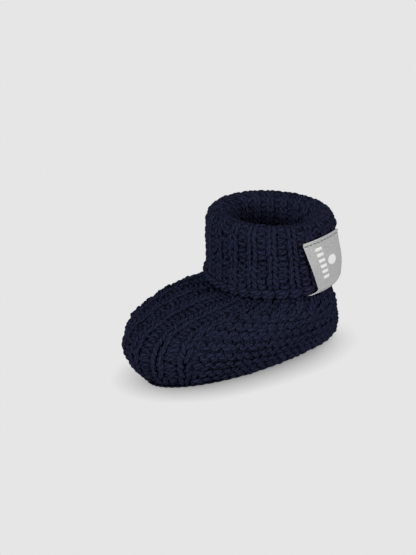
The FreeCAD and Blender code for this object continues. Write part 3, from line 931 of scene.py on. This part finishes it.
def tape_material(name, colour, weft_mm, warp_mm, strength, mottle):
    """Close plain weave, from the place on the tape in millimetres; mottle is its unevenness."""
    material, tree, shader = new_material(name)
    place = node(tree, "ShaderNodeAttribute", attribute_name="tape_place")
    split = node(tree, "ShaderNodeSeparateXYZ")
    tree.links.new(place.outputs["Vector"], split.inputs[0])
    weft = math_node(tree, "SINE", math_node(tree, "MULTIPLY", split.outputs["Y"], 2 * PI / weft_mm))
    warp = math_node(tree, "SINE", math_node(tree, "MULTIPLY", split.outputs["X"], 2 * PI / warp_mm))
    weave = math_node(tree, "ADD", math_node(tree, "MULTIPLY", weft, 0.6),
                      math_node(tree, "MULTIPLY", warp, 0.4))
    noise = node(tree, "ShaderNodeTexNoise", Scale=1.3, Detail=4.0, Roughness=0.75)
    tree.links.new(place.outputs["Vector"], noise.inputs["Vector"])
    share = math_node(tree, "ADD", math_node(tree, "MULTIPLY", weave, 0.26), noise.outputs["Fac"])
    ramp = node(tree, "ShaderNodeValToRGB")
    ramp.color_ramp.elements[0].position = 0.15
    ramp.color_ramp.elements[0].color = (*[(1 - mottle) * part for part in colour], 1)
    ramp.color_ramp.elements[1].position = 0.85
    ramp.color_ramp.elements[1].color = (*[min(1.0, (1 + 0.8 * mottle) * part) for part in colour], 1)
    tree.links.new(share, ramp.inputs[0])
    tree.links.new(ramp.outputs[0], shader.inputs["Base Color"])
    bump = node(tree, "ShaderNodeBump", Strength=strength, Distance=0.0001)
    tree.links.new(weave, bump.inputs["Height"])
    tree.links.new(bump.outputs[0], shader.inputs["Normal"])
    shader.inputs["Roughness"].default_value = 0.7
    shader.inputs["Specular IOR Level"].default_value = 0.3
    return material


TAPE_GREY = (0.476, 0.476, 0.478)
MARK_WHITE = (0.98, 0.98, 0.98)
STITCH_GREY = (0.10, 0.10, 0.105)


def tape_slab(name, across, down, low, high):
    """A thin closed piece on the tape, with its places stored for the weave."""
    upper, lower = (label_place(across, down, np.full(across.shape, height))[0]
                    for height in (high, low))
    piece = slab(name, upper, lower)
    places = np.stack([across, down, 0 * across], -1).reshape(-1, 3)
    piece.data.attributes.new("tape_place", "FLOAT_VECTOR", "POINT").data.foreach_set(
        "vector", np.concatenate([places, places]).astype(np.float32).ravel())
    return piece


STITCH_COUNT = 11
STITCH_LENGTH = 1.1
STITCH_FIRST = 1.2
STITCH_LAST = LABEL_WIDTH - 1.6
STITCH_SLANT = 0.12
STITCH_ARCH = 0.16
THREAD = 0.17


def running_stitches():
    """The running stitches that hold the tape, as one piece."""
    step = np.linspace(-1, 1, 11)[None, :]
    height = LABEL_THICKNESS + 0.02 + STITCH_ARCH * (1 - step ** 4)
    thread = []
    for middle in np.linspace(STITCH_FIRST, STITCH_LAST, STITCH_COUNT):
        path, outward = label_place(middle + step * STITCH_LENGTH / 2, STITCH_LINE + STITCH_SLANT * step,
                                    height)
        thread.append(sweep(path, outward, THREAD, False))
    return yarn_piece("label_running_stitch", joined(thread), plain_cloth("grey_thread", STITCH_GREY),
                      "label_thread", "label_stitching")


# places on the tape: mm from its toe-side edge and down from its top
BAR_COUNT = 6
BAR_LEFT = 4.2
BAR_RIGHT = 7.6
BAR_TOP = 3.6
BAR_STEP = 2.45
BAR_HEIGHT = 1.3
DOT_ACROSS = 11.8
DOT_DOWN = 10.9
DOT_RADII = (2.9, 2.1)
MARK_LOW = LABEL_THICKNESS - 0.1
MARK_HIGH = LABEL_THICKNESS + 0.08


def woven_marks():
    """Six plain bars and a plain dot, woven in white."""
    white = tape_material("woven_mark", MARK_WHITE, 0.30, 0.30, 0.8, 0.04)
    marks = []
    for index in range(BAR_COUNT):
        top = BAR_TOP + BAR_STEP * index
        across, down = np.meshgrid(np.linspace(BAR_LEFT, BAR_RIGHT, 13),
                                   np.linspace(top, top + BAR_HEIGHT, 7))
        marks.append(tape_slab("label_bar_%d" % (index + 1), across, down, MARK_LOW, MARK_HIGH))
    angle, share = np.meshgrid(np.linspace(0, 2 * PI, 33), np.linspace(0.02, 1, 8))
    across = DOT_ACROSS + DOT_RADII[0] * share * np.cos(angle)
    down = DOT_DOWN + DOT_RADII[1] * share * np.sin(angle)
    marks.append(tape_slab("label_dot", across, down, MARK_LOW, MARK_HIGH))
    for mark in marks:
        finish_piece(mark, white, "label_thread")
    return marks


def make_label():
    """The woven tape folded over the hem, its running stitches and its plain woven marks."""
    across, down = np.meshgrid(np.linspace(0, LABEL_WIDTH, 61), np.linspace(0, LABEL_LENGTH, 130))
    tape = tape_slab("label_tape", across, down, 0.0, LABEL_THICKNESS)
    grey = tape_material("woven_tape", TAPE_GREY, 0.42, 0.30, 0.6, 0.55)
    finish_piece(tape, grey, "label_tape", "woven_label")
    sewn = running_stitches()
    marks = woven_marks()


make_instep()
make_side("outer_side_knit", 1, "outer_side_panel")
make_side("inner_side_knit", -1, "inner_side_panel")
make_ankle_band()
make_cuff()
make_hem()
make_seams()
make_sole()
make_label()


# ---------------------------------------------------------------- floor, light, camera

# how bright the surround looks, and how brightly it lights the bootie
BACKDROP = 0.79
AMBIENT = 0.275
# the painted shade on the floor: its reach in metres, and the power that lightens it
CONTACT_REACH = 0.011
CONTACT_LIFT = 0.40
FLOOR_HALF = 4.0


def seen_strength(tree, shown, cast):
    """A strength of shown where the camera sees it, and of cast where it lights other things."""
    path = node(tree, "ShaderNodeLightPath")
    camera = path.outputs["Is Camera Ray"]
    return math_node(tree, "ADD", math_node(tree, "MULTIPLY", camera, shown - cast), cast)


def make_floor():
    """A pale floor that shows only a short, soft painted shade where the bootie touches it."""
    corners = ((-1, -1, 0), (1, -1, 0), (1, 1, 0), (-1, 1, 0))
    verts = np.array(corners) * FLOOR_HALF / MM
    floor = build_mesh("floor", verts, [np.array([[0, 1, 2, 3]])], False)
    material, tree, shader = new_material("pale_floor")
    # painted shadow: ambient occlusion darkens the floor's glow near the bootie
    shade = node(tree, "ShaderNodeAmbientOcclusion", Distance=CONTACT_REACH)
    shade.samples = 16
    softened = math_node(tree, "POWER", shade.outputs["AO"], CONTACT_LIFT)
    shine = node(tree, "ShaderNodeEmission")
    tree.links.new(softened, shine.inputs["Color"])
    tree.links.new(seen_strength(tree, BACKDROP, AMBIENT), shine.inputs["Strength"])
    tree.links.new(shine.outputs[0], tree.nodes["Material Output"].inputs["Surface"])
    tree.nodes.remove(shader)
    floor.data.materials.append(material)


# name, strength, spread in degrees and the direction that the light comes from
LAMPS = (("soft_key", 2.55, 22, (0.10, -0.88, 0.32)),
         ("soft_fill", 2.55, 40, (0.92, 0.27, 0.20)),
         ("soft_back", 0.35, 60, (-0.75, 0.50, 0.20)))


def make_light():
    """An even pale surround and soft lamps: before the toe, on the label's side and, weak, behind."""
    world = bpy.data.worlds.new("studio")
    world.use_nodes = True
    tree = world.node_tree
    background = tree.nodes["Background"]
    background.inputs["Color"].default_value = (1, 1, 1, 1)
    tree.links.new(seen_strength(tree, BACKDROP, AMBIENT), background.inputs["Strength"])
    bpy.context.scene.world = world
    for name, energy, spread, direction in LAMPS:
        sun = bpy.data.lights.new(name, "SUN")
        sun.energy = energy
        sun.angle = math.radians(spread)
        lamp = bpy.data.objects.new(name, sun)
        bpy.context.scene.collection.objects.link(lamp)
        lamp.rotation_mode = "QUATERNION"
        lamp.rotation_quaternion = Vector(direction).to_track_quat("Z", "Y")


CAMERA_AZIMUTH = math.radians(51.6)
CAMERA_ELEVATION = math.radians(22.1)
CAMERA_DISTANCE = 1.3
SENSOR = 36.0
PIXELS_PER_METRE = 2515.0
IMAGE_HEIGHT = 555
# where the camera looks, in metres from the frame's origin along the image's right and up
AIM_RIGHT = -0.0096
AIM_UP = 0.0324


def make_camera():
    """A long lens a little above the bootie, off its toe and on the label's side."""
    flat = math.cos(CAMERA_ELEVATION)
    back = Vector((math.sin(CAMERA_AZIMUTH) * flat, -math.cos(CAMERA_AZIMUTH) * flat,
                   math.sin(CAMERA_ELEVATION)))
    camera = bpy.data.objects.new("camera", bpy.data.cameras.new("camera"))
    camera.data.sensor_width = SENSOR
    camera.data.lens = PIXELS_PER_METRE * CAMERA_DISTANCE * SENSOR / IMAGE_HEIGHT
    camera.rotation_mode = "QUATERNION"
    camera.rotation_quaternion = back.to_track_quat("Z", "Y")
    right = Vector((math.cos(CAMERA_AZIMUTH), math.sin(CAMERA_AZIMUTH), 0))
    aim = right * AIM_RIGHT + back.cross(right) * AIM_UP
    camera.location = aim + back * CAMERA_DISTANCE
    camera.data.clip_start = 0.05
    camera.data.clip_end = 20
    bpy.context.scene.collection.objects.link(camera)
    bpy.context.scene.camera = camera


make_floor()
make_light()
make_camera()
bpy.context.scene.view_settings.view_transform = "Standard"
